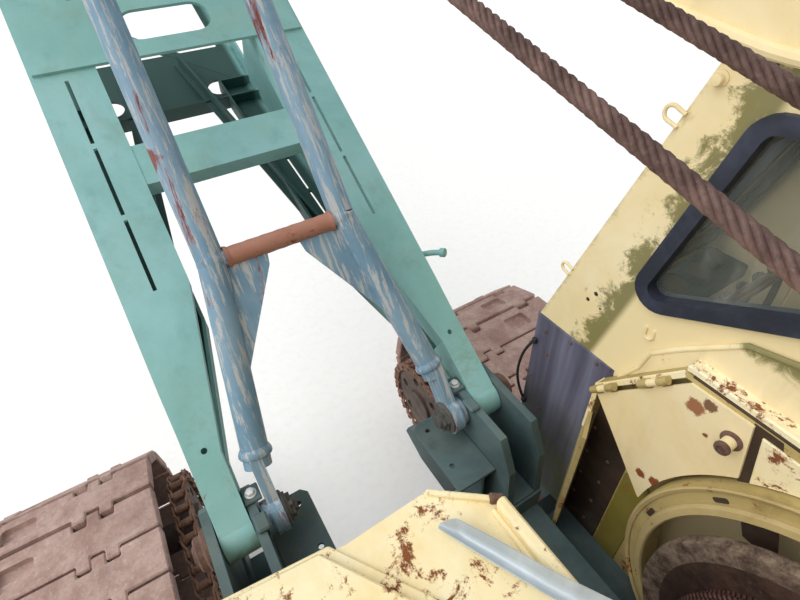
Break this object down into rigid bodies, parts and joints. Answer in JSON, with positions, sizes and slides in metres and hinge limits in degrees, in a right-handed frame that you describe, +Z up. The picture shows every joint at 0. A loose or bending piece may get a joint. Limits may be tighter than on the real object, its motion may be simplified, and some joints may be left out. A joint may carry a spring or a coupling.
{
  "type": "crawler crane",
  "caption": "Crawler crane with lattice boom, live mast, chain-driven tracks, side cab, machinery house, winch drum and a slewing upper body.",
  "frame": {"origin": "on the ground, on the swing axis", "axes": "+X forward along the boom, +Y to the operator's left, +Z up"},
  "size_m": [13.4372, 3.13, 5.9533],
  "materials": {
    "frame_paint": "worn grey-green paint with moss and rust",
    "worn_steel": "greased cast steel with rust",
    "track_steel": "rough rusty cast steel",
    "chain_steel": "orange-brown rusty chain",
    "cream_paint": "faded cream-yellow paint with moss and rust",
    "engine_paint": "oily grey paint",
    "exhaust_steel": "heat-rusted steel",
    "drum_steel": "dark greased steel",
    "window_glass": "dusty flat glass",
    "seal_rubber": "black rubber seal",
    "control_black": "black paint and vinyl",
    "bare_sheet": "streaked bare sheet",
    "boom_paint": "faded turquoise paint",
    "mast_paint": "scratched blue-grey paint",
    "rope_steel": "rusty greased wire rope"
  },
  "bodies": {
    "undercarriage": {"carbody": "frame_paint", "slew_ring": "worn_steel", "side_frame_left": "frame_paint", "side_frame_right": "frame_paint", "track_left": "track_steel", "track_right": "track_steel", "drive_tumbler_left": "worn_steel", "drive_tumbler_right": "worn_steel", "idler_left": "worn_steel", "idler_right": "worn_steel", "drive_chain_left": "chain_steel", "drive_chain_right": "chain_steel", "propel_shaft": "worn_steel"},
    "upper": {"revolving_frame": "frame_paint", "counterweight": "cream_paint", "house_left": "cream_paint", "house_right": "cream_paint", "deck_cover": "cream_paint", "engine_block": "engine_paint", "exhaust": "exhaust_steel", "gantry": "cream_paint", "gantry_sheaves": "worn_steel", "hoist_drum": "drum_steel", "drum_guard": "cream_paint", "cab_front": "cream_paint", "cab_left_wall": "cream_paint", "cab_right_wall": "cream_paint", "cab_rear": "cream_paint", "cab_roof": "cream_paint", "cab_glass": "window_glass", "window_seals": "seal_rubber", "operator_station": "control_black", "side_sheet": "bare_sheet"},
    "main_drum": {"main_drum": "drum_steel"},
    "guard_lid": {"guard_lid": "cream_paint"},
    "cab_door": {"cab_door": "cream_paint"},
    "house_door_left": {"house_door_left": "cream_paint"},
    "house_door_right": {"house_door_right": "cream_paint"},
    "boom": {"boom_butt": "boom_paint", "boom_head": "boom_paint", "pendants": "rope_steel"},
    "head_sheaves": {"head_sheaves": "worn_steel"},
    "mast": {"mast": "mast_paint", "mast_sheaves": "worn_steel"}
  },
  "joints": [
    {"name": "slew", "type": "hinge", "parent": "undercarriage", "child": "upper", "pos_m": [0, 0, 1], "axis": [0, 0, 1], "continuous": true},
    {"name": "boom_hoist", "type": "hinge", "parent": "upper", "child": "boom", "pos_m": [1, 0, 1.55], "axis": [0, -1, 0], "range_deg": [-25, 50]},
    {"name": "mast_swing", "type": "hinge", "parent": "upper", "child": "mast", "pos_m": [1, 0, 1.55], "axis": [0, -1, 0], "range_deg": [-25, 50]},
    {"name": "head_sheave_spin", "type": "hinge", "parent": "boom", "child": "head_sheaves", "pos_m": [9.92713, 0, 5.71279], "axis": [0, 1, 0], "continuous": true},
    {"name": "drum_spin", "type": "hinge", "parent": "upper", "child": "main_drum", "pos_m": [-0.095, 0, 1.512], "axis": [0, 1, 0], "continuous": true},
    {"name": "guard_lid_hinge", "type": "hinge", "parent": "upper", "child": "guard_lid", "pos_m": [0.69648, -0.586, 1.81301], "axis": [0.6258, 0, -0.7799], "range_deg": [0, 100]},
    {"name": "cab_door_hinge", "type": "hinge", "parent": "upper", "child": "cab_door", "pos_m": [0.048, -1.464, 1.6], "axis": [0, 0, -1], "range_deg": [0, 100]},
    {"name": "house_door_left_hinge", "type": "hinge", "parent": "upper", "child": "house_door_left", "pos_m": [-1.288, 1.464, 1.7], "axis": [0, 0, -1], "range_deg": [0, 110]},
    {"name": "house_door_right_hinge", "type": "hinge", "parent": "upper", "child": "house_door_right", "pos_m": [-1.288, -1.464, 1.7], "axis": [0, 0, 1], "range_deg": [0, 110]}
  ],
  "couplings": [
    {"joint": "mast_swing", "follows": "boom_hoist", "ratio": 1}
  ]
}
